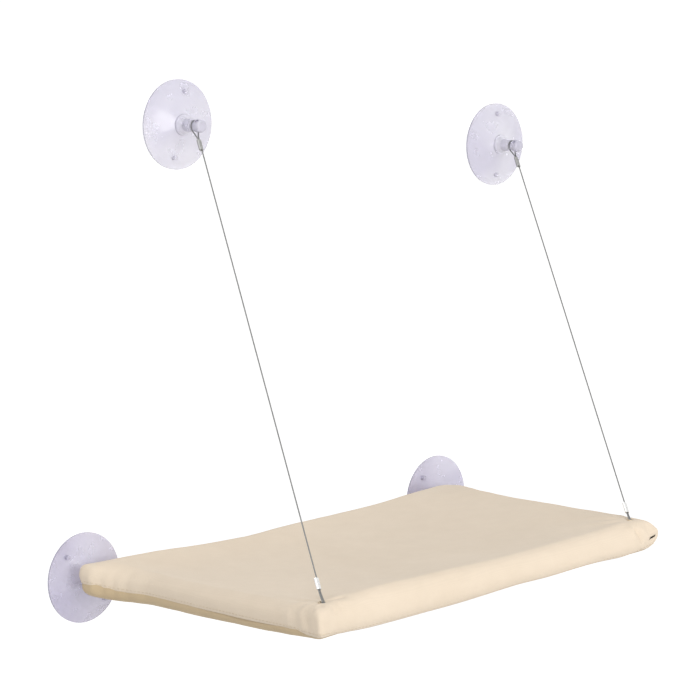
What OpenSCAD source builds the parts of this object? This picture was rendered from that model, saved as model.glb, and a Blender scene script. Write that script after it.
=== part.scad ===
// Window mounted cat perch.
// A tube frame in a fabric cover pivots on two suction cups at its rear corners.
// Two steel cables hang its front corners from two more suction cups, higher on the glass.
// Origin: on the glass, midway between the lower cups. +Y into the glass, +Z up.

/* [Frame] */
// Distance between the side tubes' centre lines
frame_w = 487; // [400:1:650]
// Distance between the rear and front tubes' centre lines
frame_d = 290; // [220:1:360]
// Outer diameter of the frame tubes
tube_od = 22; // [18:0.5:25]
// Wall of the frame tubes
tube_wall = 2; // [1:0.25:3]
// Wall of the corner sockets
socket_wall = 1.8; // [1.4:0.1:2.6]
// Depth of the corner sockets
socket_depth = 22; // [14:1:34]
// Extra radius of the collar at a socket's mouth
collar_rise = 0.6; // [0.4:0.1:1.2]

/* [Pivot] */
// Diameter of the pivot pins at the rear corners
pin_d = 4.5; // [3.5:0.1:5]
// Distance of the pivot axis and the rear tube from the glass, and of each post's cross hole
pivot_out = 36; // [34:0.5:44]

/* [Suction cups] */
// Diameter of a suction cup
cup_d = 96; // [80:1:116]
// Length of a post beyond its cross hole
head_over = 5; // [4:0.5:8]
// Length of a post's head from its cross hole towards the glass
head_under = 5; // [4:0.5:6]
// Length of the neck, which holds a cable loop
neck_l = 4.5; // [3.5:0.5:6]
// Depth of the hollow under a cup
hollow_h = 4.5; // [3:0.5:5]
// Diameter of the post's head
head_d = 14; // [12:0.5:16]
// Diameter of the post's neck
neck_d = 9; // [7:0.5:10]
// Diameter of the collar at the foot of the post
collar_d = 23; // [20:0.5:28]
// Turn of the line of the two nubs away from square to the cross hole
nub_turn = 43; // [0:1:90]
// Sideways place of the upper left cup
upper_left_x = -119; // [-260:1:0]
// Height of the upper left cup
upper_left_z = 466; // [380:1:560]
// Turn of the upper left cup about its post
upper_left_turn = 57; // [-90:1:90]
// Sideways place of the upper right cup
upper_right_x = 378; // [200:1:420]
// Height of the upper right cup
upper_right_z = 406; // [380:1:560]
// Turn of the upper right cup about its post
upper_right_turn = 46; // [-90:1:90]

/* [Cables] */
// Diameter of the steel cables
cable_d = 1.5; // [1.2:0.1:2]
// Length of a crimped ferrule
ferrule_l = 12; // [8:1:14]
// Distance from a cup's neck to the upper ferrule
upper_leg = 18; // [17:1:24]
// Distance from a corner's cable bar to the lower ferrule
lower_leg = 31; // [22:1:36]

/* [Cover] */
// Thickness of the fabric
fabric_t = 1.2; // [0.8:0.1:1.6]
// Height of the hem below the frame's centre plane
hem_drop = 9; // [6:0.5:11]
// How far the cover's rear ears reach past the middle of a lower cup
ear_reach = 21; // [18:1:28]

/* [Hidden] */
$fn = 64;
// Overshoot of a cut past the face it opens
over = 1;

// Clearances
push_fit = 0.1;
pin_fit = 0.08;
cable_fit = 0.1;
loop_gap = 0.3;
fabric_gap = 0.5;
layer_gap = 0.3;
side_gap = 1;
shoulder_gap = 0.4;
tube_end_gap = 0.3;

// Frame
tube_r = tube_od/2;
socket_r = tube_r + push_fit;
arm_r = socket_r + socket_wall;
corner_r = arm_r + collar_rise;
socket_floor = corner_r;
arm_l = socket_floor + socket_depth;
collar_l = 5;
lead_in = 0.8;
gusset_t = 3;
gusset_share = 0.94;
rear_y = -pivot_out;
front_y = rear_y - frame_d;
side_x = frame_w/2;

// Cover: the base hugs the frame and the top laps over it
base_in = corner_r + fabric_gap;
base_out = base_in + fabric_t;
top_in = base_out + layer_gap;
top_out = top_in + fabric_t;
base_rise = 2;
cover_x = side_x + top_out;

// Pivot stub on a rear corner
pin_r = pin_d/2;
boss_r = 4.5;
boss_end = cover_x + side_gap - shoulder_gap;
head_r = head_d/2;
cup_x = cover_x + side_gap + head_r;
ear_x = cup_x + ear_reach;
post_gap = 0.6;
pin_end = cup_x + head_r + shoulder_gap;
barb_rise = 0.9;
barb_l = 4;
slit_w = 1.2;
slit_depth = 2;

// Cups
cup_r = cup_d/2;
lip_w = 3.5;
rim_t = 2;
hub_r = head_r;
collar_top = 13;
collar_foot = 3;
collar_r = collar_d/2;
dish_h = 14;
dish_power = 1.6;
dish_steps = 12;
neck_r = neck_d/2;
head_h0 = pivot_out - head_under;
hub_h = head_h0 - neck_l;
cup_h = pivot_out + head_over;
head_ease = 1.6;
tip_round = 2.4;
round_steps = 6;
nub_r = 2.4;
nub_place = 0.75*cup_r;
nub_h = 8.5;
nub_floor = 3;
neck_y = -(hub_h + head_h0)/2;

// Cables
cable_r = cable_d/2;
cable_sides = 8;
arc_steps = 12;
leg_steps = 6;
loop_open = 200;
strand_gap = 0.15;
strand = cable_r + strand_gap;
ferrule_wall = 1;
crimp_depth = 0.35;
crimp_w = 2;
bar_r = 2;
bar_z = 4.5;
// Cable pocket in a front corner, measured from the corner's centre
pocket_wall = 2;
pocket_w = 8.4;
pocket_l = 15;
pocket_floor = -0.5;
anchor_in = 8.5;
anchor_depth = 4;
anchor_x = side_x - anchor_in;
anchor_y = front_y - arm_r + pocket_wall + anchor_depth;
slot_w = 12;
slot_l = 14;
slot_lead = 3;

function unit(v) = v/norm(v);
function bezier(a, b, c, d, t) =
    pow(1 - t, 3)*a + 3*pow(1 - t, 2)*t*b + 3*(1 - t)*t*t*c + pow(t, 3)*d;
function on_circle(c, r, a) = c + r*[cos(a), 0, sin(a)];
// Direction of travel along a loop when its angle turns by way (1 or -1)
function travel(a, way) = way*[-sin(a), 0, cos(a)];

// Frame

// One socket arm along +Z from the corner's centre, with a collar at its mouth
module socket_arm() {
    rotate_extrude()
        polygon([[0, 0],
                 [arm_r, 0],
                 [arm_r, arm_l - collar_l - collar_rise],
                 [corner_r, arm_l - collar_l],
                 [corner_r, arm_l - lead_in],
                 [corner_r - lead_in, arm_l],
                 [0, arm_l]]);
}

module socket_bore() {
    translate([0, 0, socket_floor])
        cylinder(r = socket_r, h = socket_depth + over);
}

module along_x() {
    rotate([0, 90, 0]) children();
}

module along_minus_y() {
    rotate([90, 0, 0]) children();
}

// Where two round arms meet in a mitre
module mitre() {
    intersection() {
        along_x() cylinder(r = arm_r, h = 2*arm_r, center = true);
        along_minus_y() cylinder(r = arm_r, h = 2*arm_r, center = true);
    }
}

// Rear left corner at the origin: arms along +X and -Y, with a gusset between them
module corner_body() {
    difference() {
        union() {
            mitre();
            along_x() socket_arm();
            along_minus_y() socket_arm();
            translate([0, 0, -gusset_t/2])
                linear_extrude(gusset_t)
                    polygon([[0, 0],
                             [gusset_share*arm_l, 0],
                             [0, -gusset_share*arm_l]]);
        }
        along_x() socket_bore();
        along_minus_y() socket_bore();
    }
}

// Stub with a split snap end, along -X from the corner's mitre
module pivot_stub() {
    root = boss_end - side_x;
    tip = pin_end - side_x;
    difference() {
        rotate([0, -90, 0])
            rotate_extrude()
                polygon([[0, arm_r/2],
                         [boss_r, arm_r/2],
                         [boss_r, root],
                         [pin_r, root],
                         [pin_r, tip],
                         [pin_r + barb_rise, tip],
                         [pin_r + barb_rise, tip + lead_in],
                         [pin_r - lead_in, tip + barb_l],
                         [0, tip + barb_l]]);
        translate([-tip - barb_l - over, -slit_w/2, -boss_r])
            cube([barb_l + slit_depth + over, slit_w, 2*boss_r]);
    }
}

module rear_corner() {
    corner_body();
    pivot_stub();
}

// Front left corner at the origin: arms along +X and +Y, with a pocket and a cable bar
module front_corner() {
    pocket_y = -arm_r + pocket_wall;
    difference() {
        mirror([0, 1, 0]) corner_body();
        translate([anchor_in - pocket_w/2, pocket_y, pocket_floor])
            cube([pocket_w, pocket_l, corner_r]);
    }
    translate([anchor_in, pocket_y + pocket_l + pocket_wall/2, bar_z])
        along_minus_y() cylinder(r = bar_r, h = pocket_l + pocket_wall);
}

module frame_tube(length) {
    difference() {
        cylinder(r = tube_r, h = length, center = true);
        cylinder(r = tube_r - tube_wall, h = length + 2*over, center = true);
    }
}

module cross_tube(y) {
    color("silver")
        translate([0, y, 0])
            along_x() frame_tube(frame_w - 2*socket_floor - 2*tube_end_gap);
}

module side_tube(x) {
    color("silver")
        translate([x, (rear_y + front_y)/2, 0])
            along_minus_y() frame_tube(frame_d - 2*socket_floor - 2*tube_end_gap);
}

module rear_tube() {
    cross_tube(rear_y);
}

module front_tube() {
    cross_tube(front_y);
}

module left_tube() {
    side_tube(-side_x);
}

module right_tube() {
    side_tube(side_x);
}

module rear_left_corner() {
    color("dimgray") translate([-side_x, rear_y, 0]) rear_corner();
}

module rear_right_corner() {
    color("dimgray") mirror([1, 0, 0]) translate([-side_x, rear_y, 0]) rear_corner();
}

module front_left_corner() {
    color("dimgray") translate([-side_x, front_y, 0]) front_corner();
}

module front_right_corner() {
    color("dimgray") mirror([1, 0, 0]) translate([-side_x, front_y, 0]) front_corner();
}

// Cover

// Section of a flat pad with round edges, with its round centres span apart
module pad_section(span, r) {
    for (x = [-span/2, span/2])
        translate([x, 0]) circle(r = r);
    translate([-span/2, -r]) square([span, 2*r]);
}

// The frame's outline swollen to a radius, mitred at its corners
module pad(r) {
    translate([0, (rear_y + front_y)/2, 0])
        intersection() {
            along_minus_y() linear_extrude(frame_d + 2*r, center = true) pad_section(frame_w, r);
            rotate([90, 0, 90]) linear_extrude(frame_w + 2*r, center = true) pad_section(frame_d, r);
        }
}

// The pad with its rear roll carried on as two ears, which cover the pins and posts
module eared_pad(r, ear_end) {
    pad(r);
    translate([0, rear_y, 0])
        along_x() cylinder(r = r, h = 2*ear_end, center = true);
}

// A box over the whole cover between two heights
module slab_between(z0, z1) {
    translate([-ear_x - over, front_y - top_out - over, z0])
        cube([2*(ear_x + over), frame_d + 2*(top_out + over), z1 - z0]);
}

// Room in the ears for a cup's post, from straight back to straight up as the perch folds
module post_slots() {
    half = hub_r + post_gap;
    for (x = [-cup_x, cup_x])
        translate([x - half, -pivot_out - half, -half])
            cube([2*half, pivot_out + half, half + top_out + over]);
}

module cable_slots() {
    for (x = [-anchor_x, anchor_x])
        translate([x - slot_w/2, anchor_y - slot_lead, 0])
            cube([slot_w, slot_l, top_out + over]);
}

module cover_top() {
    color("wheat")
        difference() {
            intersection() {
                eared_pad(top_out, ear_x);
                slab_between(-hem_drop, top_out + over);
            }
            eared_pad(top_in, ear_x - fabric_t);
            post_slots();
            cable_slots();
        }
}

module cover_base() {
    base_ear = ear_x - fabric_t - layer_gap;
    color("tan")
        difference() {
            intersection() {
                eared_pad(base_out, base_ear);
                slab_between(-base_out - over, -base_rise);
            }
            eared_pad(base_in, base_ear - fabric_t);
            post_slots();
        }
}

// Suction cups

function dish_out(r) = rim_t + (dish_h - rim_t)*pow(1 - r/cup_r, dish_power);
function dish_in(r) = hollow_h*(1 - pow(r/(cup_r - lip_w), 2));

// Half section of a cup: x is the radius, y the height above the glass
module cup_section() {
    tip_in = head_r - tip_round;
    polygon(concat(
        [for (i = [0:dish_steps]) let(r = (cup_r - lip_w)*i/dish_steps) [r, dish_in(r)]],
        [[cup_r, 0]],
        [for (i = [0:dish_steps]) let(r = cup_r + (collar_r - cup_r)*i/dish_steps) [r, dish_out(r)]],
        [[collar_r, collar_top - lead_in],
         [collar_r - lead_in, collar_top],
         [hub_r + collar_foot, collar_top],
         [hub_r, collar_top + collar_foot],
         [hub_r, hub_h - lead_in],
         [hub_r - lead_in, hub_h],
         [neck_r, hub_h],
         [neck_r, head_h0],
         [head_r, head_h0 + head_ease]],
        [for (i = [0:round_steps]) let(a = 90*i/round_steps)
            [tip_in + tip_round*cos(a), cup_h - tip_round + tip_round*sin(a)]],
        [[0, cup_h]]));
}

// A pull nub on the dish, above the cup's centre
module nub() {
    straight = nub_h - nub_floor - lead_in;
    translate([0, nub_place, nub_floor]) {
        cylinder(r = nub_r, h = straight);
        translate([0, 0, straight])
            cylinder(r1 = nub_r, r2 = nub_r - lead_in, h = lead_in, $fn = 32);
    }
}

// A cup with its face on the glass and its post towards -Y, turned about its post;
// its cross hole lies along X before the turn
module suction_cup(x, z, turn = 0) {
    color([0.84, 0.83, 0.9])
        translate([x, 0, z])
            rotate([0, turn, 0])
                difference() {
                    along_minus_y() {
                        rotate_extrude($fn = 96) cup_section();
                        for (a = [nub_turn, nub_turn + 180])
                            rotate([0, 0, a]) nub();
                    }
                    translate([-head_r - over, -pivot_out, 0])
                        along_x() cylinder(r = pin_r + pin_fit, h = 2*(head_r + over));
                }
}

module lower_left_cup() {
    suction_cup(-cup_x, 0);
}

module lower_right_cup() {
    suction_cup(cup_x, 0);
}

module upper_left_cup() {
    suction_cup(upper_left_x, upper_left_z, upper_left_turn);
}

module upper_right_cup() {
    suction_cup(upper_right_x, upper_right_z, upper_right_turn);
}

// Cables

// Ends of a cable: the cup's neck above and the corner's bar below
function neck_at(x, z) = [x, neck_y, z];
function bar_at(side) = [side*anchor_x, anchor_y, bar_z];
function side_of(dir) = unit(cross(dir, [0, 1, 0]));

// Cable points from the loose end in the upper ferrule, round the neck, down the run,
// round the bar and back up to the other loose end in the lower ferrule
function cable_path(top, bottom) =
    let(dir = unit(bottom - top),
        off = strand*side_of(dir),
        top_r = neck_r + loop_gap + cable_r,
        low_r = bar_r + loop_gap + cable_r,
        a0 = 90 + loop_open/2,
        a1 = 90 - loop_open/2,
        b0 = 270 + loop_open/2,
        b1 = 270 - loop_open/2,
        up_in = top + upper_leg*dir,
        up_out = up_in + ferrule_l*dir,
        low_in = bottom - lower_leg*dir,
        low_out = low_in - ferrule_l*dir,
        pull = upper_leg/3,
        low_pull = lower_leg/3)
    concat(
        [up_out - off],
        [for (i = [0:leg_steps - 1])
            bezier(up_in - off, up_in - off - pull*dir,
                   on_circle(top, top_r, a0) - pull*travel(a0, -1), on_circle(top, top_r, a0), i/leg_steps)],
        [for (i = [0:arc_steps]) on_circle(top, top_r, a0 + (a1 - a0)*i/arc_steps)],
        [for (i = [1:leg_steps])
            bezier(on_circle(top, top_r, a1), on_circle(top, top_r, a1) + pull*travel(a1, -1),
                   up_in + off - pull*dir, up_in + off, i/leg_steps)],
        [up_out + off, low_out + off],
        [for (i = [0:leg_steps - 1])
            bezier(low_in + off, low_in + off + low_pull*dir,
                   on_circle(bottom, low_r, b0) - low_pull*travel(b0, -1), on_circle(bottom, low_r, b0),
                   i/leg_steps)],
        [for (i = [0:arc_steps]) on_circle(bottom, low_r, b0 + (b1 - b0)*i/arc_steps)],
        [for (i = [1:leg_steps])
            bezier(on_circle(bottom, low_r, b1), on_circle(bottom, low_r, b1) + low_pull*travel(b1, -1),
                   low_in - off + low_pull*dir, low_in - off, i/leg_steps)],
        [low_out - off]);

// A round tube swept along points whose tangents never lie along Y
module swept_tube(path, r, sides) {
    last = len(path) - 1;
    rings = [for (i = [0:last])
        let(t = unit(path[min(i + 1, last)] - path[max(i - 1, 0)]),
            n = side_of(t),
            b = cross(t, n))
        for (k = [0:sides - 1]) path[i] + r*(cos(360*k/sides)*n + sin(360*k/sides)*b)];
    walls = [for (i = [0:last - 1])
        for (k = [0:sides - 1])
            let(next = (k + 1)%sides)
            [i*sides + k, (i + 1)*sides + k, (i + 1)*sides + next, i*sides + next]];
    caps = [[for (k = [0:sides - 1]) k], [for (k = [0:sides - 1]) last*sides + sides - 1 - k]];
    polyhedron(rings, concat(walls, caps), convexity = 10);
}

module cable(top, bottom) {
    color("gray") swept_tube(cable_path(top, bottom), cable_r, cable_sides);
}

// A double barrel sleeve, crimped on the cable at two places, from start along dir
module ferrule(start, dir) {
    side = side_of(dir);
    back = cross(dir, side);
    barrel_r = cable_r + cable_fit + ferrule_wall;
    color("lightgray")
        multmatrix([[side.x, back.x, dir.x, start.x],
                    [side.y, back.y, dir.y, start.y],
                    [side.z, back.z, dir.z, start.z]])
            difference() {
                union() {
                    for (x = [-strand, strand])
                        translate([x, 0, 0]) cylinder(r = barrel_r, h = ferrule_l);
                    translate([-strand, -barrel_r, 0]) cube([2*strand, 2*barrel_r, ferrule_l]);
                }
                for (x = [-strand, strand])
                    translate([x, 0, -over]) cylinder(r = cable_r + cable_fit, h = ferrule_l + 2*over);
                for (z = [ferrule_l/3, 2*ferrule_l/3])
                    for (face = [-1, 1])
                        translate([-2*barrel_r, face*barrel_r - crimp_depth, z - crimp_w/2])
                            cube([4*barrel_r, 2*crimp_depth, crimp_w]);
            }
}

function run_dir(top, bottom) = unit(bottom - top);

module upper_ferrule(top, bottom) {
    dir = run_dir(top, bottom);
    ferrule(top + upper_leg*dir, dir);
}

module lower_ferrule(top, bottom) {
    dir = run_dir(top, bottom);
    ferrule(bottom - (lower_leg + ferrule_l)*dir, dir);
}

left_top = neck_at(upper_left_x, upper_left_z);
right_top = neck_at(upper_right_x, upper_right_z);
left_bottom = bar_at(-1);
right_bottom = bar_at(1);

module left_cable() {
    cable(left_top, left_bottom);
}

module right_cable() {
    cable(right_top, right_bottom);
}

module upper_left_ferrule() {
    upper_ferrule(left_top, left_bottom);
}

module upper_right_ferrule() {
    upper_ferrule(right_top, right_bottom);
}

module lower_left_ferrule() {
    lower_ferrule(left_top, left_bottom);
}

module lower_right_ferrule() {
    lower_ferrule(right_top, right_bottom);
}

rear_tube();
front_tube();
left_tube();
right_tube();
rear_left_corner();
rear_right_corner();
front_left_corner();
front_right_corner();
cover_top();
cover_base();
lower_left_cup();
lower_right_cup();
upper_left_cup();
upper_right_cup();
left_cable();
right_cable();
upper_left_ferrule();
upper_right_ferrule();
lower_left_ferrule();
lower_right_ferrule();
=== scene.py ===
import itertools
import math

import bpy
import numpy as np
from mathutils import Euler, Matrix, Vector
from mathutils.bvhtree import BVHTree


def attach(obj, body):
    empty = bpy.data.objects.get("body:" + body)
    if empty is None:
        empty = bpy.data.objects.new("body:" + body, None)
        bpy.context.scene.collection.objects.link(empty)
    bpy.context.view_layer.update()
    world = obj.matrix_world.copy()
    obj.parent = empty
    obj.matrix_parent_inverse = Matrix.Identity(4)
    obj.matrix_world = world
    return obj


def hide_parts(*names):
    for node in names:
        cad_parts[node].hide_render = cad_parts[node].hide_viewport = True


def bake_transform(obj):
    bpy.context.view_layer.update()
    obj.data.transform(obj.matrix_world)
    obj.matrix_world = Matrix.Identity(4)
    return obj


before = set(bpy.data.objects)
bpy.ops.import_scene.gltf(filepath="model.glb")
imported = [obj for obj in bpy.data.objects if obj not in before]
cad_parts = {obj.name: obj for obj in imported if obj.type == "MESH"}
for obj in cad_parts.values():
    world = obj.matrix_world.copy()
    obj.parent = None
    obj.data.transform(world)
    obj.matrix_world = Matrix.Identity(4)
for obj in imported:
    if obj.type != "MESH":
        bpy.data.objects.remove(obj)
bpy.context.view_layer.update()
MM = 0.001

# Sizes in mm, as in part.scad: the frame's centre lines, then the cables and what they go round
FRAME_W, FRAME_D, REAR_Y = 487.0, 290.0, -36.0
SIDE_X, HALF_Y = FRAME_W / 2, FRAME_D / 2
MID_Y = REAR_Y - HALF_Y
NECK_R, NECK_Y = 4.5, -28.75                    # of the cup necks that hold the upper loops
BAR_R, BAR_Z = 2.0, 4.5                         # of the bars that hold the lower loops
CABLE_R, LOOP_GAP = 0.75, 0.3
STRAND = CABLE_R + 0.15                         # from a ferrule's axis to each rope in it
UPPER_LEG, LOWER_LEG, FERRULE_L = 18.0, 31.0, 12.0
LOOP_OPEN = 200.0                               # degrees of a loop that lie on its bar or neck
ANCHOR_X, ANCHOR_Y = 235.0, -332.9
UPPER = {"left": (-119.0, 466.0), "right": (378.0, 406.0)}    # x and z of the upper cups
CUP_X, POST_R = 268.2, 7.0                      # of the lower cups' posts


# ---------------------------------------------------------------- camera
def make_camera():
    """The photo's camera, solved on the cups' rims and the cover's corners."""
    data = bpy.data.cameras.new("camera")
    data.sensor_width, data.lens = 36.0, 154.29
    data.clip_start, data.clip_end = 0.05, 400.0
    cam = bpy.data.objects.new("camera", data)
    cam.location = (-2.2274, -2.3929, 0.7319)
    cam.rotation_euler = Euler([math.radians(a) for a in (80.859, 1.129, -44.786)], "XYZ")
    bpy.context.scene.collection.objects.link(cam)
    bpy.context.scene.camera = cam


make_camera()


# ---------------------------------------------------------------- helpers
def mesh_object(name, verts_mm, faces, material=None):
    """A smooth-shaded object made from points in mm."""
    mesh = bpy.data.meshes.new(name)
    verts = [tuple(MM * float(c) for c in v) for v in verts_mm]
    mesh.from_pydata(verts, [], [tuple(int(i) for i in f) for f in faces])
    mesh.validate()
    mesh.update()
    mesh.polygons.foreach_set("use_smooth", [True] * len(mesh.polygons))
    obj = bpy.data.objects.new(name, mesh)
    bpy.context.scene.collection.objects.link(obj)
    if material:
        mesh.materials.append(material)
    return obj


def unit(v):
    return v / np.maximum(np.linalg.norm(v, axis=-1, keepdims=True), 1e-12)


def smoothstep(t):
    """0 up to t = 0, 1 from t = 1, and an easy change between."""
    t = np.clip(t, 0, 1)
    return t * t * (3 - 2 * t)


def lattice(ix, iy, iz, seed):
    """A number from -1 to 1 for each whole-numbered point."""
    h = (ix * 374761393 + iy * 668265263 + iz * 2147483647 + seed * 1274126177) & 0xFFFFFFFF
    h = ((h ^ (h >> 13)) * 1274126177) & 0xFFFFFFFF
    return ((h ^ (h >> 16)) & 0xFFFF) / 65535.0 * 2 - 1


def value_noise(p, scale, seed):
    """Smooth noise from -1 to 1 at points p (N x 3), with features about scale wide."""
    q = np.asarray(p, float) / scale
    base = np.floor(q).astype(np.int64)
    f = q - base
    f = f * f * f * (f * (f * 6 - 15) + 10)
    total = np.zeros(len(q))
    for step in itertools.product((0, 1), repeat=3):
        total += np.prod(np.where(step, f, 1 - f), axis=1) * lattice(*(base + step).T, seed)
    return total


def fbm(p, scale, seed, octaves):
    """Noise in octaves, each half as wide and half as strong as the last."""
    total, gain = np.zeros(len(p)), 1.0
    for k in range(octaves):
        total += gain * value_noise(p, scale / 2 ** k, seed + 17 * k)
        gain *= 0.5
    return total


# ---------------------------------------------------------------- materials
class Shader:
    """A node material with a Principled shader and short calls for its texture nodes."""

    def __init__(self, name, **sockets):
        self.mat = bpy.data.materials.new(name)
        self.mat.use_nodes = True
        self.tree = self.mat.node_tree
        self.bsdf = self.tree.nodes["Principled BSDF"]
        for key, value in sockets.items():
            self.bsdf.inputs[key.replace("_", " ")].default_value = value

    def node(self, kind, **properties):
        n = self.tree.nodes.new(kind)
        for key, value in properties.items():
            setattr(n, key, value)
        return n

    def link(self, a, b):
        self.tree.links.new(a, b)

    def feed(self, socket, value):
        """Links an output to one of the Principled shader's own sockets."""
        self.link(value, self.bsdf.inputs[socket])

    def coords(self):
        return self.node("ShaderNodeTexCoord").outputs["Object"]

    def noise(self, vector, scale, detail=3.0, rough=0.55):
        n = self.node("ShaderNodeTexNoise")
        n.inputs["Scale"].default_value = scale
        n.inputs["Detail"].default_value = detail
        n.inputs["Roughness"].default_value = rough
        self.link(vector, n.inputs["Vector"])
        return n.outputs["Fac"]

    def ramp(self, fac, stops):
        """A colour ramp with two stops, each a place and a colour."""
        r = self.node("ShaderNodeValToRGB")
        for e, (place, colour) in zip(r.color_ramp.elements, stops):
            e.position = place
            e.color = (*colour, 1)
        self.link(fac, r.inputs["Fac"])
        return r.outputs["Color"]

    def math(self, operation, a, b=None):
        m = self.node("ShaderNodeMath", operation=operation)
        for socket, v in zip(m.inputs, (a, b)):
            if isinstance(v, (int, float)):
                socket.default_value = v
            elif v is not None:
                self.link(v, socket)
        return m.outputs[0]

    def multiply_colours(self, a, b):
        m = self.node("ShaderNodeMix", data_type="RGBA", blend_type="MULTIPLY")
        fac, first, second = (socket for socket in m.inputs if socket.enabled)
        fac.default_value = 1.0
        self.link(a, first)
        self.link(b, second)
        return next(socket for socket in m.outputs if socket.enabled)

    def bump(self, height, strength, distance, normal=None):
        b = self.node("ShaderNodeBump")
        b.inputs["Strength"].default_value = strength
        b.inputs["Distance"].default_value = distance
        self.link(height, b.inputs["Height"])
        if normal is not None:
            self.link(normal, b.inputs["Normal"])
        return b.outputs["Normal"]

    def map_range(self, value, lo, hi, to_lo, to_hi):
        m = self.node("ShaderNodeMapRange")
        for key, v in (("From Min", lo), ("From Max", hi), ("To Min", to_lo), ("To Max", to_hi)):
            m.inputs[key].default_value = v
        self.link(value, m.inputs["Value"])
        return m.outputs["Result"]


def weave(s, v, pitch):
    """Height of a plain weave with threads of that pitch in metres, from 0 to 1, free of UVs."""
    sep = s.node("ShaderNodeSeparateXYZ")
    s.link(v, sep.inputs[0])
    k = 2 * math.pi / pitch
    waves = [s.math("SINE", s.math("MULTIPLY", sep.outputs[i], k)) for i in range(3)]
    a = s.math("MULTIPLY", waves[0], waves[1])
    b = s.math("MULTIPLY", waves[1], waves[2])
    c = s.math("MULTIPLY", waves[0], waves[2])
    total = s.math("ADD", s.math("ADD", a, b), c)
    return s.map_range(total, -1.5, 1.5, 0, 1)


def fabric_material(name, light, dark, pitch, pile):
    """Cloth of the given thread pitch (m); pile is how much of its relief is fuzz, from 0 to 1."""
    s = Shader(name, Sheen_Weight=0.22, Sheen_Roughness=0.45, Sheen_Tint=(1.0, 0.95, 0.88, 1))
    v = s.coords()
    broad = s.noise(v, 7.0, 3.0)
    cloudy = s.noise(v, 60.0, 4.0)
    fine = s.noise(v, 1500.0, 2.0, 0.7)
    threads = weave(s, v, pitch)
    tone = s.math("ADD", s.math("MULTIPLY", broad, 0.55), s.math("MULTIPLY", cloudy, 0.45))
    # The base colour is darkened where the weave's relief is low: painted shade in the hollows between threads.
    relief = s.math("ADD", s.math("MULTIPLY", threads, 0.6), s.math("MULTIPLY", fine, 0.4))
    painted_weave_shade = s.map_range(relief, 0.2, 0.8, 0.95, 1.03)
    painted_weave_shade_rgb = s.node("ShaderNodeCombineColor")
    for channel in range(3):
        s.link(painted_weave_shade, painted_weave_shade_rgb.inputs[channel])
    s.feed("Base Color", s.multiply_colours(s.ramp(tone, [(0.30, dark), (0.70, light)]), painted_weave_shade_rgb.outputs[0]))
    s.feed("Roughness", s.map_range(cloudy, 0.3, 0.7, 0.82, 0.94))
    height = s.math("ADD", s.math("MULTIPLY", threads, 1 - pile), s.math("MULTIPLY", fine, pile))
    rumpled = s.bump(s.noise(v, 240.0, 3.0), 0.12, 0.0012, s.bump(height, 0.35, 0.00035))
    s.feed("Normal", rumpled)
    return s.mat


def thread_material():
    s = Shader("thread", Roughness=0.7)
    v = s.coords()
    tone = s.noise(v, 900.0, 2.0)
    s.feed("Base Color", s.ramp(tone, [(0.3, (0.60, 0.49, 0.35)), (0.7, (0.76, 0.65, 0.50))]))
    s.feed("Normal", s.bump(s.noise(v, 3000.0, 2.0), 0.3, 0.0002))
    return s.mat


def cup_material(name, dark, light):
    """Clear soft vinyl with a cloudy tint between two colours."""
    s = Shader(name, IOR=1.45, Transmission_Weight=0.44, Coat_Weight=0.4, Coat_Roughness=0.1)
    v = s.coords()
    cloud = s.noise(v, 11.0, 1.5)
    s.feed("Base Color", s.ramp(cloud, [(0.36, dark), (0.64, light)]))
    s.feed("Roughness", s.map_range(s.noise(v, 60.0, 3.0), 0.3, 0.7, 0.18, 0.30))
    s.feed("Normal", s.bump(s.noise(v, 70.0, 3.0), 0.12, 0.0015))
    return s.mat


def metal_material(name, base, rough, grain):
    s = Shader(name, Metallic=1.0)
    v = s.coords()
    dark = tuple(0.86 * c for c in base)
    s.feed("Base Color", s.ramp(s.noise(v, grain, 3.0), [(0.25, dark), (0.75, base)]))
    s.feed("Roughness", s.map_range(s.noise(v, grain * 2, 2.0), 0.3, 0.7, rough - 0.07, rough + 0.09))
    s.feed("Normal", s.bump(s.noise(v, grain * 5, 2.0), 0.2, 0.0001))
    return s.mat


def plastic_material(name, base, rough):
    s = Shader(name)
    v = s.coords()
    dark = tuple(0.9 * c for c in base)
    s.feed("Base Color", s.ramp(s.noise(v, 40.0, 3.0), [(0.3, dark), (0.7, base)]))
    s.feed("Roughness", s.map_range(s.noise(v, 160.0, 3.0), 0.3, 0.7, rough - 0.06, rough + 0.08))
    s.feed("Normal", s.bump(s.noise(v, 1200.0, 2.0, 0.6), 0.25, 0.00012))
    return s.mat


FLEECE = fabric_material("fleece", (0.835, 0.715, 0.575), (0.775, 0.655, 0.515), 0.0011, 0.55)
# The lining's darker tan is painted shade: the band under the hem is the same fleece as the upper panel, in
# shade.
LINING_PAINTED_SHADE = fabric_material("lining", (0.66, 0.52, 0.33), (0.56, 0.43, 0.27), 0.0013, 0.25)
THREAD = thread_material()
UPPER_CUP = cup_material("clear_vinyl", (0.76, 0.74, 0.86), (0.94, 0.93, 0.99))
# The lower cups get a darker copy of the same vinyl: painted shade for the lesser light that falls on them.
LOWER_CUP_PAINTED_SHADE = cup_material("clear_vinyl_lower_painted_shade", (0.60, 0.57, 0.72), (0.80, 0.78, 0.90))
STEEL = metal_material("wire_steel", (0.30, 0.30, 0.295), 0.38, 700.0)
ALUMINIUM = metal_material("sleeve_aluminium", (0.86, 0.86, 0.85), 0.26, 400.0)
DULL_ALUMINIUM = metal_material("sleeve_dull_aluminium", (0.44, 0.44, 0.43), 0.4, 400.0)
TUBE = plastic_material("tube_plastic", (0.78, 0.78, 0.76), 0.42)
CORNER = plastic_material("corner_plastic", (0.16, 0.16, 0.17), 0.5)


def finish_node(names, material):
    for n in names:
        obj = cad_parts[n]
        obj.data.materials.clear()
        obj.data.materials.append(material)


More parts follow.
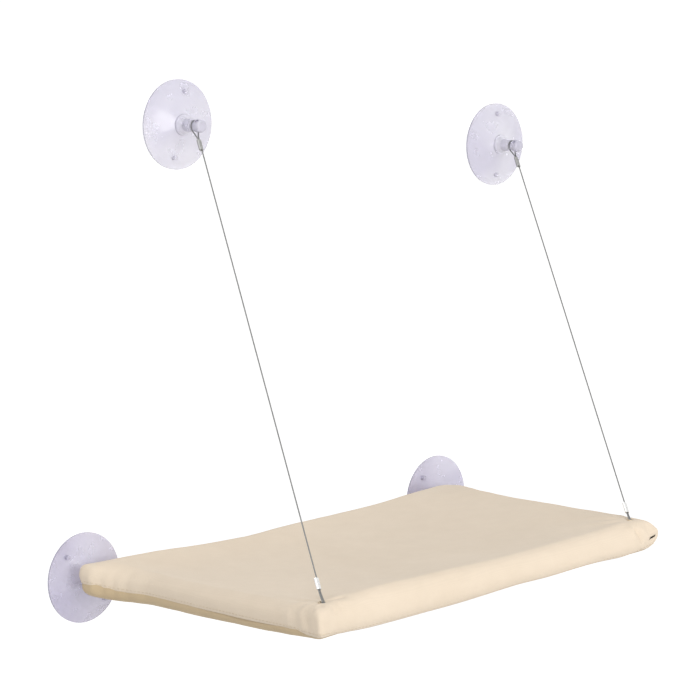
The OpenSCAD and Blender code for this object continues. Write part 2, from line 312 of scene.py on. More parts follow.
finish_node(["upper_left_cup", "upper_right_cup"], UPPER_CUP)
finish_node(["lower_left_cup", "lower_right_cup"], LOWER_CUP_PAINTED_SHADE)
finish_node(["lower_left_ferrule", "lower_right_ferrule"], ALUMINIUM)
finish_node(["upper_left_ferrule", "upper_right_ferrule"], DULL_ALUMINIUM)
finish_node(["rear_tube", "front_tube", "left_tube", "right_tube"], TUBE)
finish_node(["rear_left_corner", "rear_right_corner", "front_left_corner", "front_right_corner"], CORNER)


# ---------------------------------------------------------------- cables
LEG_STEPS, LOOP_STEPS = 14, 30


def bezier(a, b, c, d, t):
    return (1 - t) ** 3 * a + 3 * (1 - t) ** 2 * t * b + 3 * (1 - t) * t * t * c + t ** 3 * d


def on_circle(c, r, a):
    return c + r * np.array([math.cos(math.radians(a)), 0, math.sin(math.radians(a))])


def backwards(a):
    """The way round a circle towards smaller angles, at the angle a."""
    return np.array([math.sin(math.radians(a)), 0, -math.cos(math.radians(a))])


def loop_route(centre, radius, middle, leg, inwards, off):
    """A cable's loop: in by one leg, round the circle past the angle middle, and back by the other leg.

    inwards is the way from the ferrule to the circle, off the way across to the second leg."""
    first, last = middle + LOOP_OPEN / 2, middle - LOOP_OPEN / 2
    a, b = on_circle(centre, radius, first), on_circle(centre, radius, last)
    mouth, turn = centre - leg * inwards, leg / 3
    pull = turn * inwards
    there = [bezier(mouth - off, mouth - off + pull, a - turn * backwards(first), a, i / LEG_STEPS)
             for i in range(LEG_STEPS)]
    arc = [on_circle(centre, radius, first + (last - first) * i / LOOP_STEPS) for i in range(LOOP_STEPS + 1)]
    back = [bezier(b, b + turn * backwards(last), mouth + off + pull, mouth + off, i / LEG_STEPS)
            for i in range(1, LEG_STEPS + 1)]
    return there + arc + back


def cable_path(top, bottom):
    """The route that part.scad gives the cable, from one loose end to the other."""
    direction = unit(bottom - top)
    off, gap = STRAND * unit(np.cross(direction, [0, 1, 0])), LOOP_GAP + CABLE_R
    up_out = top + UPPER_LEG * direction + FERRULE_L * direction
    low_out = bottom - LOWER_LEG * direction - FERRULE_L * direction
    p = [up_out - off, *loop_route(top, NECK_R + gap, 90, UPPER_LEG, -direction, off), up_out + off,
         low_out + off, *loop_route(bottom, BAR_R + gap, 270, LOWER_LEG, direction, -off), low_out - off]
    return np.array(p), direction


def resample(path, step):
    """The path again with points about step apart, and its length."""
    seg = np.linalg.norm(np.diff(path, axis=0), axis=1)
    s = np.r_[0, np.cumsum(seg)]
    n = max(2, int(round(s[-1] / step)))
    at = np.linspace(0, s[-1], n + 1)
    return np.stack([np.interp(at, s, path[:, i]) for i in range(3)], 1), s[-1]


def moving_frames(path):
    """Tangents and a pair of normals that don't twist along the path."""
    t = unit(np.gradient(path, axis=0))
    n = np.zeros_like(t)
    n[0] = unit(np.cross(t[0], [0, 1, 0]))
    for i in range(1, len(path)):
        n[i] = unit(n[i - 1] - t[i] * np.dot(n[i - 1], t[i]))
    return t, n, np.cross(t, n)


def tube_mesh(centre, radius, sides):
    """Points and faces of a closed round bar along a line."""
    _, n, b = moving_frames(centre)
    turn = (2 * np.pi * np.arange(sides) / sides)[None, :, None]
    spokes = np.cos(turn) * n[:, None, :] + np.sin(turn) * b[:, None, :]
    verts = (centre[:, None, :] + radius * spokes).reshape(-1, 3)
    faces = []
    for i in range(len(centre) - 1):
        for k in range(sides):
            m = (k + 1) % sides
            faces.append((i * sides + k, i * sides + m, (i + 1) * sides + m, (i + 1) * sides + k))
    faces.append(tuple(reversed(range(sides))))
    faces.append(tuple((len(centre) - 1) * sides + k for k in range(sides)))
    return verts, faces


def joined(meshes):
    """Points and faces of several meshes as one."""
    verts, faces, base = [], [], 0
    for v, f in meshes:
        verts.append(v)
        faces += [tuple(i + base for i in face) for face in f]
        base += len(v)
    return np.concatenate(verts), faces


ROPE_LAY, ROPE_STRANDS, WIRE_SIDES = 11.0, 6, 6


def wire_rope(name, path, radius):
    """Six strands laid round a core, as the real wire rope is."""
    line, length = resample(path, 1.0)
    _, n, b = moving_frames(line)
    s = np.linspace(0, length, len(line))
    strand_r = radius / 3
    centres = []
    for k in range(ROPE_STRANDS):
        a = 2 * np.pi * (s / ROPE_LAY + k / ROPE_STRANDS)
        centres.append(line + (radius - strand_r) * (np.cos(a)[:, None] * n + np.sin(a)[:, None] * b))
    centres.append(line)
    # Each strand is a little full, so that it presses on the next
    strands = [tube_mesh(centre, strand_r * 1.04, WIRE_SIDES) for centre in centres]
    return mesh_object(name, *joined(strands), STEEL)


CABLES = {}
for side, sign in (("left", -1), ("right", 1)):
    top = np.array([UPPER[side][0], NECK_Y, UPPER[side][1]])
    bottom = np.array([sign * ANCHOR_X, ANCHOR_Y, BAR_Z])
    path, direction = cable_path(top, bottom)
    rope = wire_rope(f"{side}_wire_rope", path, CABLE_R)
    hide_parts(f"{side}_cable")
    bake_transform(rope)
    CABLES[sign] = (bottom, direction)


# ---------------------------------------------------------------- cover
NARROW, WIDE = 2.4, 7.4     # mm between the mesh's lines, at the frame's corners and in the middle


def graded(half):
    """Places from -half to half, close together near both ends."""
    cuts = [0.0]
    while cuts[-1] < half:
        cuts.append(cuts[-1] + NARROW + (WIDE - NARROW) * float(smoothstep((cuts[-1] - 20) / 90)))
    left = np.array(cuts) * half / cuts[-1] - half
    return np.r_[left, -left[-2::-1]]


def span(at, knots):
    """Places between the knots: the knot before each, the width to the next and the share of it."""
    at = np.clip(np.asarray(at, float), knots[0], knots[-1])
    j = np.clip(np.searchsorted(knots, at, side="right") - 1, 0, len(knots) - 2)
    wide = knots[j + 1] - knots[j]
    return j, wide, (at - knots[j]) / wide


def eased(at, knots, values):
    """A curve through the values at the knots, level at each of them."""
    knots, values = np.asarray(knots, float), np.asarray(values, float)
    j, _, t = span(at, knots)
    return values[j] + (values[j + 1] - values[j]) * smoothstep(t)


def curve(at, knots, values):
    """A smooth curve through the values at the knots."""
    knots, values = np.asarray(knots, float), np.asarray(values, float)
    j, wide, t = span(at, knots)
    slopes = np.gradient(values, knots)
    return (values[j] + (values[j + 1] - values[j]) * t * t * (3 - 2 * t)
            + wide * t * (1 - t) * (slopes[j] * (1 - t) - slopes[j + 1] * t))


XS, YS = graded(SIDE_X), graded(HALF_Y)[::-1]
NX, NY = len(XS) - 1, len(YS) - 1

# Section of each panel round the tube, row by row from the top down: distance out from the tube's axis
# and height, in mm. Heights above the axis are for a crest of NOMINAL_CREST, those below for a
# foot of NOMINAL_FOOT. "side" serves each side without a table of its own. A corner without one blends
# the sections of its two sides.
UPPER_SECTION = {
    "side": [(3.4, 19.4), (6.8, 18.0), (10.0, 15.6), (12.6, 12.4), (14.8, 8.4),
             (16.2, 4.4), (16.8, 0.4), (16.8, -2.8), (16.4, -5.4), (15.8, -7.6)],
    "left": [(3.2, 19.2), (6.2, 17.8), (9.2, 15.9), (12.2, 13.4), (14.8, 10.0),
             (16.2, 6.0), (16.7, 1.8), (16.7, -1.8), (16.4, -4.4), (15.8, -6.6)],
    "front": [(3.4, 19.4), (6.8, 18.0), (10.0, 15.6), (12.8, 12.0), (15.0, 7.4),
              (16.4, 2.2), (16.6, -3.6), (14.8, -9.0), (10.6, -13.6), (4.6, -16.4)],
    "rear_left_corner": [(3.4, 19.8), (6.8, 19.8), (10.4, 19.8), (13.8, 19.4), (16.2, 17.2),
                         (17.2, 12.4), (17.4, 6.6), (17.0, 1.2), (16.4, -3.4), (15.8, -7.0)],
    "rear_right_corner": [(3.4, 19.6), (6.8, 18.6), (10.2, 16.8), (13.0, 13.8), (15.2, 10.0),
                          (16.5, 6.0), (16.9, 1.8), (16.8, -2.0), (16.4, -5.0), (15.8, -7.4)],
    "front_left_corner": [(3.2, 19.8), (6.6, 19.4), (10.0, 18.4), (12.8, 15.6), (14.4, 11.0),
                          (14.8, 5.2), (14.9, -0.2), (14.8, -4.8), (14.2, -8.8), (12.0, -12.0)],
    "front_right_corner": [(3.2, 19.9), (6.6, 19.3), (10.0, 18.1), (13.0, 15.7), (15.6, 12.0),
                           (17.2, 8.0), (17.4, 3.4), (16.4, -2.0), (14.4, -6.8), (11.4, -10.6)],
}
# Radius of the outline's corners in each row
UPPER_ROUND = {"rear_left_corner": [4, 5, 5, 5, 5, 5, 5, 5, 5, 5],
               "rear_right_corner": [4, 5, 5, 5, 5, 5, 5, 5, 5, 5],
               "front_left_corner": [5, 4, 3.5, 3.5, 3.5, 3.5, 3.5, 3.5, 4, 5],
               "front_right_corner": [8, 7, 6, 5, 4, 4, 4.5, 5, 5, 5]}
LOWER_SECTION = {
    "side": [(14.2, -3.5), (15.0, -6.8), (15.2, -10.0), (13.8, -13.0), (10.8, -15.4), (6.4, -16.6)],
    "front": [(9.0, -11.8), (7.6, -13.4), (6.0, -14.6), (4.4, -15.2), (2.6, -15.8), (0.8, -16.6)],
    "front_left_corner": [(12.8, -5.0), (12.1, -7.8), (11.1, -10.6), (9.3, -13.2), (6.6, -15.4), (3.0, -16.6)],
    "front_right_corner": [(13.2, -5.0), (12.8, -7.7), (11.6, -10.5), (9.4, -13.0), (6.4, -14.9), (3.0, -15.8)],
}
LOWER_ROUND = {"rear_left_corner": [5, 5, 5, 5, 4, 3],
               "rear_right_corner": [5, 5, 5, 5, 4, 3],
               "front_left_corner": [4, 4, 4, 4, 4, 3],
               "front_right_corner": [4, 4, 4, 4, 4, 3]}
NOMINAL_CREST, NOMINAL_FOOT = 20.0, 17.0


class Outline:
    """A loop of points on the frame's centre lines, in order: rear, right, front and left side.

    p holds the points, n the way out at each, side the number of its side, and to_corner the
    distance to the nearest corner."""

    def __init__(self):
        pts = [(x, HALF_Y) for x in XS[:-1]] + [(SIDE_X, y) for y in YS[:-1]]
        pts += [(x, -HALF_Y) for x in XS[::-1][:-1]] + [(-SIDE_X, y) for y in YS[::-1][:-1]]
        self.p = np.array(pts)
        self.count = len(pts)
        starts = [0, NX, NX + NY, 2 * NX + NY]
        self.side = np.searchsorted(starts, np.arange(self.count), side="right") - 1
        self.n = np.array([(0, 1), (1, 0), (0, -1), (-1, 0)], float)[self.side]
        for k, i in enumerate(starts):
            self.n[i] = [(-1, 1), (1, 1), (1, -1), (-1, -1)][k]
        lengthwise = np.isin(self.side, (0, 2))
        self.to_corner = np.where(lengthwise, SIDE_X - np.abs(self.p[:, 0]), HALF_Y - np.abs(self.p[:, 1]))

    def ring(self, out, corner_r):
        """The outline pushed out by an offset for each point, with its corners rounded."""
        p = self.p + self.n * out[:, None]
        along_x, along_y = self.n[:, 0] == 0, self.n[:, 1] == 0
        p[along_x, 0] = self.p[along_x, 0] * (1 + out[along_x] / SIDE_X)
        p[along_y, 1] = self.p[along_y, 1] * (1 + out[along_y] / HALF_Y)
        ex, ey = SIDE_X + out, HALF_Y + out
        cx, cy = np.sign(p[:, 0]) * (ex - corner_r), np.sign(p[:, 1]) * (ey - corner_r)
        near = (np.abs(p[:, 0]) > ex - corner_r) & (np.abs(p[:, 1]) > ey - corner_r)
        q = np.c_[cx, cy] + unit(np.c_[p[:, 0] - cx, p[:, 1] - cy]) * corner_r[:, None]
        p[near] = q[near]
        return p


OUT = Outline()


# Height of the upper panel over each tube's axis, and depth of the lower one under it, at places in
# mm from the tube's middle. Two sides that meet have the same value at their corner.
CREST = {
    "rear": ([-243.5, -215, -180, -150, -115, -86, 12, 126, 190, 243.5],
             [23.2, 21.6, 20.0, 18.2, 16.2, 14.9, 16.2, 16.8, 20.2, 22.8]),
    "right": ([-145, -105, -40, 40, 71, 105, 145], [22.4, 23.4, 22.8, 22.6, 23.6, 24.0, 22.8]),
    "front": ([-243.5, -215, -161, -100, 55, 150, 243.5], [18.6, 19.6, 22.4, 21.6, 19.0, 20.2, 22.4]),
    "left": ([-145, -120, -90, -30, 60, 108, 145], [18.6, 17.6, 16.0, 14.0, 13.8, 16.4, 23.2]),
}
FOOT = {
    "rear": ([-243.5, -150, 0, 150, 243.5], [19.0, 17.4, 17.0, 17.2, 18.0]),
    "right": ([-145, -110, -60, 145], [14.9, 15.2, 16.6, 18.0]),
    "front": ([-243.5, -205, -178, -140, -92, -47, -1, 23, 50, 95, 130, 168, 205, 243.5],
              [13.9, 16.0, 17.6, 17.9, 17.7, 17.3, 16.2, 15.2, 14.2, 14.6, 13.4, 13.4, 14.8, 14.9]),
    "left": ([-145, -118, -80, -30, 60, 145], [13.9, 14.0, 16.8, 17.9, 18.2, 19.0]),
}
SIDES = ["rear", "right", "front", "left"]
TURN_REACH, CORNER_REACH = 36.0, 34.0       # mm over which one section turns into the next


def along(edge, side, x, y):
    return curve(x if side in ("rear", "front") else y, *edge[side])


def spanned(edge, x, y):
    """A surface over the frame that meets the heights of all four edges."""
    u, v = (x + SIDE_X) / FRAME_W, (y + HALF_Y) / FRAME_D
    rear, right, front, left = (along(edge, side, x, y) for side in SIDES)
    c = {(i, j): along(edge, "rear" if j else "front", (2 * i - 1) * SIDE_X, 0.0)
         for i in (0, 1) for j in (0, 1)}
    flat = (1 - u) * (1 - v) * c[0, 0] + u * (1 - v) * c[1, 0] + (1 - u) * v * c[0, 1] + u * v * c[1, 1]
    return (1 - v) * front + v * rear + (1 - u) * left + u * right - flat


def sections(table, rounds):
    """Offset, height and corner radius of every row (rows x points of the outline)."""
    left, front = OUT.p[:, 0] < 0, OUT.p[:, 1] < 0
    flank = np.where(left & ("left" in table), "left", "side")
    own = np.select([OUT.side == 0, OUT.side == 2], ["side", "front"], flank)
    beside = np.where(np.isin(OUT.side, (0, 2)), flank, np.where(front, "front", "side"))
    corner = np.select([front & left, front, left],
                       ["front_left_corner", "front_right_corner", "rear_left_corner"], "rear_right_corner")
    rows = len(table["side"])
    both, radius = np.zeros((rows, OUT.count, 2)), np.zeros((rows, OUT.count))
    half = 0.5 * smoothstep(1 - OUT.to_corner / TURN_REACH)
    near = smoothstep(1 - OUT.to_corner / CORNER_REACH)
    for i in range(OUT.count):
        a, b = np.array(table[own[i]]), np.array(table[beside[i]])
        both[:, i] = a + (b - a) * half[i]
        if corner[i] in table:
            both[:, i] += (np.array(table[corner[i]]) - both[:, i]) * near[i]
        radius[:, i] = rounds[corner[i]]
    x, y = OUT.p.T
    on_side = [OUT.side == k for k in range(4)]
    tops, feet = (np.select(on_side, [along(edge, side, x, y) for side in SIDES]) for edge in (CREST, FOOT))
    z = both[:, :, 1]
    z = np.where(z > 0, z * tops / NOMINAL_CREST, z * feet / NOMINAL_FOOT)
    return both[:, :, 0], z, radius


def ears(p):
    """Draws the cover's rear corners out over the posts of the lower cups, and shapes its front tips."""
    q = p.copy()
    reach = eased(-p[:, 1], [19, 34, 46, 56, 70, 94], [30.5, 29.0, 19.0, 12.0, 5.5, 0.0])
    q[:, 0] += np.sign(p[:, 0]) * reach * smoothstep((np.abs(p[:, 0]) - 205) / 52)
    far, left, z = np.abs(q[:, 0]), p[:, 0] < 0, p[:, 2]
    # An ear is flatter than the frame: its top comes down and its foot up
    drop = np.where(left, 1.5, 7.0) * smoothstep((far - 240) / 43) * np.clip(z / 20, 0, 1.2)
    low = np.interp(z, [-13, -8, 2, 12], [0.72, 1.05, 0.6, 0])
    lift = np.where(left, 8.5, 5.0) * smoothstep((far - 250) / 36) * low
    q[:, 2] += (lift - drop) * reach / reach.max()
    # The front right tip runs to a point and the front left corner forward
    tip = np.exp(-((p[:, 0] - 257) ** 2 + (p[:, 1] + 340) ** 2) / 14.0 ** 2 - ((p[:, 2] - 5) / 9.0) ** 2)
    q[:, 0] += 3.2 * tip
    q[:, 1] -= 1.2 * tip
    forward = np.exp(-((p[:, 0] + 257) ** 2 + (p[:, 1] + 341) ** 2) / 20.0 ** 2)
    q[:, 1] -= 5.6 * forward
    return q


def grid(height):
    """The flat middle of a panel, as points and the index of each."""
    x, y = np.meshgrid(XS, YS)
    verts = np.stack([x, y + MID_Y, height(x, y)], 2).reshape(-1, 3)
    index = np.arange(len(verts)).reshape(NY + 1, NX + 1)
    loop = np.r_[index[0, :-1], index[:-1, -1], index[-1, :0:-1], index[:0:-1, 0]]
    return verts, index, loop


def bowl(x, y, depth, power_x, power_y):
    """A hollow of that depth in the middle, level with the tubes at the edges."""
    return depth * (1 - np.abs(x / SIDE_X) ** power_x) * (1 - np.abs(y / HALF_Y) ** power_y)


def upper_height(x, y):
    return spanned(CREST, x, y) - bowl(x, y, 9.0, 3.4, 3.0)


def lower_height(x, y):
    return -0.99 * spanned(FOOT, x, y) - bowl(x, y, 2.0, 2.4, 2.4)


def panel(height, table, rounds, upward):
    """A panel's base mesh in mm: its middle, and rows of points down or up its sides."""
    verts, index, loop = grid(height)
    out, z, radius = sections(table, rounds)
    rows = range(len(out)) if upward else reversed(range(len(out)))
    faces = [(index[j, i], index[j + 1, i], index[j + 1, i + 1], index[j, i + 1])
             for j in range(NY) for i in range(NX)]
    prev, n = loop, OUT.count
    for k in rows:
        ring = OUT.ring(out[k], radius[k])
        now = len(verts) + np.arange(n)
        verts = np.concatenate([verts, np.c_[ring[:, 0], ring[:, 1] + MID_Y, z[k]]])
        faces += [(prev[i], prev[(i + 1) % n], now[(i + 1) % n], now[i]) for i in range(n)]
        prev = now
    if not upward:
        faces = [f[::-1] for f in faces]
    return ears(verts), faces


def smoothed(verts, faces):
    """The same mesh after one Catmull-Clark subdivision, as points in mm and quads."""
    obj = mesh_object("base", verts, faces)
    m = obj.modifiers.new("smooth", "SUBSURF")
    m.levels = m.render_levels = 1
    m.boundary_smooth = "PRESERVE_CORNERS"
    mesh = obj.evaluated_get(bpy.context.evaluated_depsgraph_get()).to_mesh()
    v = np.empty(3 * len(mesh.vertices))
    mesh.vertices.foreach_get("co", v)
    quads = np.array([tuple(p.vertices) for p in mesh.polygons])
    data = obj.data
    bpy.data.objects.remove(obj)
    bpy.data.meshes.remove(data)
    return v.reshape(-1, 3) / MM, quads


def normals(v, quads):
    """The surface's direction at each point."""
    n = np.cross(v[quads[:, 2]] - v[quads[:, 0]], v[quads[:, 3]] - v[quads[:, 1]])
    total = np.zeros_like(v)
    for k in range(4):
        np.add.at(total, quads[:, k], n)
    return unit(total)


def groove(p, a, b, width):
    """1 on the line from a to b, falling to 0 about twice the width away (mm)."""
    a, b = np.array(a, float), np.array(b, float)
    t = np.clip((p - a) @ (b - a) / np.dot(b - a, b - a), 0, 1)
    d = np.linalg.norm(p - a - t[:, None] * (b - a), axis=1)
    return np.exp(-(d / width) ** 2)


def wire_hole(sign):
    """Where a cable passes through the top of the cover, in plan."""
    bottom, direction = CABLES[sign]
    p = bottom + direction * (NOMINAL_CREST - BAR_Z) / direction[2]
    return p[:2]


def folds(p):
    """Soft folds, dimples and creases of the upper panel, as heights along its normals (mm)."""
    on_top = smoothstep((p[:, 2] - 6) / 8)
    d = 0.55 * fbm(p, 95.0, 3, 2) + 0.22 * fbm(p, 26.0, 9, 2)
    for sign in (-1, 1):
        hx, hy = wire_hole(sign)
        dx, dy = p[:, 0] - hx, p[:, 1] - hy
        rho, phi = np.hypot(dx, dy), np.arctan2(dy, -sign * dx)
        pull = np.exp(-rho / 55.0) * smoothstep((rho - 7) / 16)
        d += 1.0 * on_top * pull * np.cos(9 * phi + 1.3 * sign)
        d -= 1.2 * on_top * np.exp(-(rho / 5.5) ** 2)
        d -= 1.1 * groove(p, (hx, hy - 1, 19.5), (hx - sign * 26, hy - 3.0, 19.5), 2.6)
        d -= 0.8 * groove(p, (hx, hy, 19.5), (hx + sign * 11, hy - 1.0, 18.5), 2.2)
    # Puckers on the left side towards the front corner
    for y, z, size in ((-301, 5.5, 0.9), (-312, 3.5, -1.1), (-321, 5.0, 1.0), (-329, 2.0, -1.5)):
        d += size * groove(p, (-258, y, z + 4), (-258, y - 3, z - 6), 3.6)
    # The folded flap at the front right corner
    face, at_front = p[:, [0, 2]], p[:, 1] < -333
    for a, b, size, width in (((223, 17), (227, 0), 1.2, 2.0), ((229, 15), (235.5, 1), -2.0, 1.7),
                              ((238, 14), (243, 4), 1.3, 2.8), ((246, 8.0), (262, 10.0), 0.9, 2.0)):
        d += size * at_front * groove(face, a, b, width)
    # Creases beside the left cable's hole
    d -= 1.5 * groove(p, (-241, -332, 19), (-254, -333, 16), 1.8)
    # Slack along the hem
    low = np.exp(-((p[:, 2] + 8) / 5.0) ** 2)
    d += 0.7 * low * value_noise(p, 34.0, 21)
    return d


def punched(v, quads, inside, snap):
    """Cuts faces whose middle is inside, and draws the rim to the hole's edge."""
    gone = inside(v[quads].mean(1))
    rim = np.intersect1d(quads[gone], quads[~gone])
    v = v.copy()
    v[rim] = snap(v[rim])
    kept = quads[~gone]
    used, inverse = np.unique(kept, return_inverse=True)
    return v[used], inverse.reshape(kept.shape)


def round_hole(centre, axes, radius, reach):
    """Tests and snaps for a round hole across two axes, within reach of its centre."""
    centre, axes = np.array(centre, float), list(axes)

    def inside(p):
        flat = np.linalg.norm(p[:, axes] - centre[axes], axis=1)
        return (flat < radius) & (np.linalg.norm(p - centre, axis=1) < reach)

    def snap(p):
        p[:, axes] = centre[axes] + unit(p[:, axes] - centre[axes]) * radius
        return p

    return inside, snap


def slit(centre, half_long, half_high, slope, reach):
    """Tests and snaps for a slit that faces the front, its long axis near X."""
    c = np.array(centre, float)

    def local(p):
        return (p[:, 0] - c[0]) / half_long, (p[:, 2] - c[2] - slope * (p[:, 0] - c[0])) / half_high

    def inside(p):
        a, b = local(p)
        return (a ** 2 < 1) & (b ** 2 < 1) & (np.linalg.norm(p - c, axis=1) < reach)

    def snap(p):
        a, b = local(p)
        turn = np.arctan2(b, a)
        p[:, 0] = c[0] + half_long * np.cos(turn)
        p[:, 2] = c[2] + slope * (p[:, 0] - c[0]) + half_high * np.sin(turn)
        return p

    return inside, snap


def add_solidify(obj, thickness_mm):
    """Gives the cloth its thickness, inwards."""
    m = obj.modifiers.new("cloth_thickness", "SOLIDIFY")
    m.thickness = thickness_mm * MM
    m.offset = -1.0
    m.use_even_offset = False


def on_cover(obj):
    """Bakes the cloth's place into its mesh."""
    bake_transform(obj)


# Holes in the cover: radius, and how far from its centre a hole's cut reaches (mm)
BACK_Y, TOP_Z = -19.0, 19.0
POST_HOLE_R, POST_HOLE_REACH = POST_R + 1.4, 13.0
WIRE_HOLE_R, WIRE_HOLE_REACH = 3.0, 7.0
CORNER_SLIT = ((251.3, -342, 3.5), 7.2, 1.3, 0.24, 12.0)    # centre, half length, half height, slope, reach


def cloth(name, height, table, rounds, upward, material, thickness, bumps):
    """A panel of the cover with its folds and holes; also returns its outer surface in mm."""
    v, quads = smoothed(*panel(height, table, rounds, upward))
    v = v + normals(v, quads) * bumps(v)[:, None]
    for sign in (-1, 1):
        post = (sign * CUP_X, BACK_Y, 0.0)
        v, quads = punched(v, quads, *round_hole(post, (0, 2), POST_HOLE_R, POST_HOLE_REACH))
        if upward:
            wire = (*wire_hole(sign), TOP_Z)
            v, quads = punched(v, quads, *round_hole(wire, (0, 1), WIRE_HOLE_R, WIRE_HOLE_REACH))
    if upward:
        v, quads = punched(v, quads, *slit(*CORNER_SLIT))
    obj = mesh_object(name, v, quads, material)
    add_solidify(obj, thickness)
    on_cover(obj)
    return obj, v, quads


def lower_folds(p):
    """The lining's slow waves; it stands off the frame a little."""
    return 0.4 + 0.8 * fbm(p, 80.0, 41, 2) + 0.2 * fbm(p, 22.0, 47, 2)


FLEECE_T, LINING_T = 1.2, 0.6
upper, outer_v, outer_quads = cloth("fleece_upper_panel", upper_height, UPPER_SECTION, UPPER_ROUND, True,
                                    FLEECE, FLEECE_T, folds)
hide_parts("cover_top")
lower = cloth("lining_lower_panel", lower_height, LOWER_SECTION, LOWER_ROUND, False,
              LINING_PAINTED_SHADE, LINING_T, lower_folds)[0]
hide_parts("cover_base")


# ---------------------------------------------------------------- stitching
SURFACE = BVHTree.FromPolygons([tuple(p) for p in outer_v], [tuple(int(i) for i in q) for q in outer_quads])
STITCH_L, STITCH_GAP, STITCH_R, STITCH_SIDES = 3.4, 1.5, 0.36, 5
STITCH_ARCH = np.array([-0.35, 0.12, 0.26, 0.12, -0.35])    # height over the cloth along a stitch


def stitches(name, loop):
    """A row of thread stitches that lies on the upper panel along a closed loop (mm)."""
    line, total = resample(np.r_[loop, loop[:1]], 0.8)
    spots = [SURFACE.find_nearest(Vector(p)) for p in line]
    at = np.array([s[0] for s in spots])
    up = np.array([s[1] for s in spots])
    step, order = total / (len(line) - 1), np.arange(len(line))
    pitch = (STITCH_L + STITCH_GAP) / step
    threads = []
    for k in range(int((len(line) - 2) / pitch)):
        where = np.linspace(k * pitch, k * pitch + STITCH_L / step, len(STITCH_ARCH))
        c = np.stack([np.interp(where, order, at[:, a]) for a in range(3)], 1)
        n = np.stack([np.interp(where, order, up[:, a]) for a in range(3)], 1)
        threads.append(tube_mesh(c + n * STITCH_ARCH[:, None], STITCH_R, STITCH_SIDES))
    obj = mesh_object(name, *joined(threads), THREAD)
    on_cover(obj)
    return obj


def section_loop(row, share):
    """The loop at a row of the upper section, moved by a share of the way to the next row."""
    out, z, radius = sections(UPPER_SECTION, UPPER_ROUND)
    o, h, r = (a[row] * (1 - share) + a[row + 1] * share for a in (out, z, radius))
    ring = OUT.ring(o, r)
    return ears(np.c_[ring[:, 0], ring[:, 1] + MID_Y, h])


EYELET_R, EYELET_STITCHES = WIRE_HOLE_R + 0.3, 16


def eyelet(name, sign):
    """The sewn rim of the hole that a cable passes through."""
    hx, hy = wire_hole(sign)
    where, up, _, _ = SURFACE.find_nearest(Vector((hx, hy, 19.5)))
    up = unit(np.array(up))
    side = unit(np.cross(up, [0, 1, 0]))
    fwd = np.cross(up, side)
    where = np.array([hx, hy, where[2]])
    rings, around = 48, 8
    verts, faces = [], []
    for i in range(rings):
        a = 2 * math.pi * i / rings
        spoke = math.cos(a) * side + math.sin(a) * fwd
        thick = 0.75 + 0.13 * math.cos(EYELET_STITCHES * a)
        for k in range(around):
            b = 2 * math.pi * k / around
            verts.append(where + spoke * (EYELET_R + thick * math.cos(b)) + up * (0.1 + thick * math.sin(b)))
            faces.append((i * around + k, (i + 1) % rings * around + k,
                          (i + 1) % rings * around + (k + 1) % around, i * around + (k + 1) % around))
    obj = mesh_object(name, verts, faces, THREAD)
    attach(obj, "perch")
    return obj


hem = stitches("hem_stitches", section_loop(8, -0.35))      # just above the panel's last two rows
holes = [eyelet("left_wire_eyelet", -1), eyelet("right_wire_eyelet", 1)]


# ---------------------------------------------------------------- stage, lights and world
FLOOR_GLOW, FLOOR_Z, FLOOR_HALF = 0.52, -760.0, 120000.0
WORLD_LIGHT, WORLD_SEEN = 0.66, 1.0


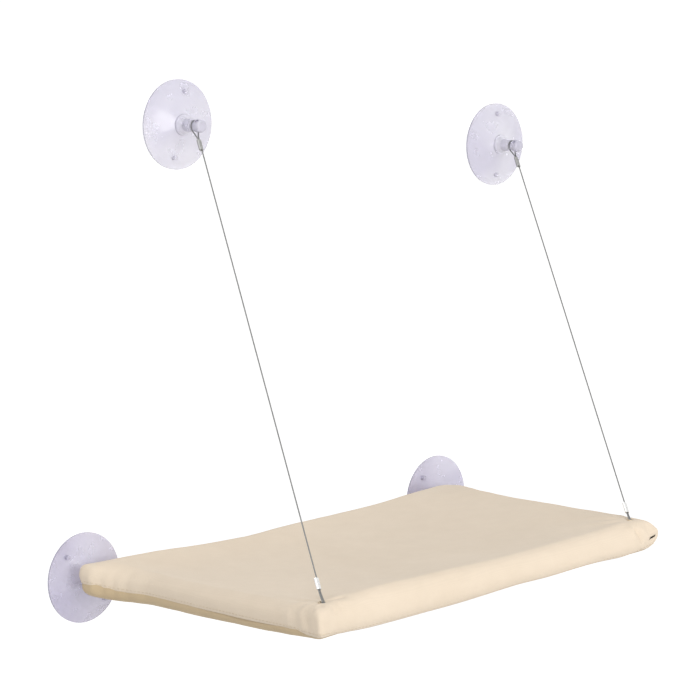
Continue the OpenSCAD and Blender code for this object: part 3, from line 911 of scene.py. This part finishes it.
def floor_material():
    """White to the camera and to reflections, an ordinary pale floor to the lamps, clear from below."""
    s = Shader("pale_floor", Roughness=0.9, Emission_Color=(1, 1, 1, 1))
    tone = s.noise(s.coords(), 3.0, 2.0)
    s.feed("Base Color", s.ramp(tone, [(0.3, (0.78, 0.78, 0.78)), (0.7, (0.80, 0.80, 0.80))]))
    path = s.node("ShaderNodeLightPath")
    mirrored = s.math("MAXIMUM", path.outputs["Is Glossy Ray"], path.outputs["Is Transmission Ray"])
    seen = s.math("MAXIMUM", path.outputs["Is Camera Ray"], mirrored)
    s.feed("Emission Strength", s.math("MULTIPLY", seen, FLOOR_GLOW))
    mixer = s.node("ShaderNodeMixShader")
    s.link(s.node("ShaderNodeNewGeometry").outputs["Backfacing"], mixer.inputs[0])
    s.link(s.bsdf.outputs[0], mixer.inputs[1])
    s.link(s.node("ShaderNodeBsdfTransparent").outputs[0], mixer.inputs[2])
    s.link(mixer.outputs[0], s.tree.nodes["Material Output"].inputs["Surface"])
    return s.mat


def make_stage():
    h, z = FLOOR_HALF, FLOOR_Z
    verts = [(-h, -h, z), (h, -h, z), (h, h, z), (-h, h, z)]
    floor = mesh_object("studio_floor", verts, [(0, 1, 2, 3)], floor_material())


def make_world():
    """White where it is seen, and dimmer as a light on the object."""
    world = bpy.data.worlds.new("studio")
    bpy.context.scene.world = world
    world.use_nodes = True
    nodes, link = world.node_tree.nodes, world.node_tree.links.new
    back = nodes["Background"]
    back.inputs["Color"].default_value = (1.0, 1.0, 1.0, 1)
    path, strength = nodes.new("ShaderNodeLightPath"), nodes.new("ShaderNodeMapRange")
    seen = path.outputs["Is Camera Ray"]
    for kind in ("Is Glossy Ray", "Is Transmission Ray"):
        either = nodes.new("ShaderNodeMath")
        either.operation = "MAXIMUM"
        link(seen, either.inputs[0])
        link(path.outputs[kind], either.inputs[1])
        seen = either.outputs[0]
    strength.inputs["To Min"].default_value = WORLD_LIGHT
    strength.inputs["To Max"].default_value = WORLD_SEEN
    link(seen, strength.inputs["Value"])
    link(strength.outputs["Result"], back.inputs["Strength"])


def area_light(name, place, target, size, power, colour=(1, 1, 1)):
    """A round lamp of that size (m) and power (W) that shines at a target."""
    data = bpy.data.lights.new(name, "AREA")
    data.shape, data.size, data.energy, data.color = "DISK", size, power, colour
    lamp = bpy.data.objects.new(name, data)
    lamp.location = place
    lamp.rotation_euler = (Vector(target) - Vector(place)).to_track_quat("-Z", "Y").to_euler()
    bpy.context.scene.collection.objects.link(lamp)


make_stage()
make_world()
area_light("key", place=(0.1, -3.0, 0.6), target=(0, -0.2, 0.1), size=1.8, power=34.0,
           colour=(1.0, 0.985, 0.96))
area_light("overhead", place=(-1.5, -0.7, 1.6), target=(-0.2, -0.2, 0), size=1.3, power=10.0)

bpy.context.scene.view_settings.view_transform = "Standard"
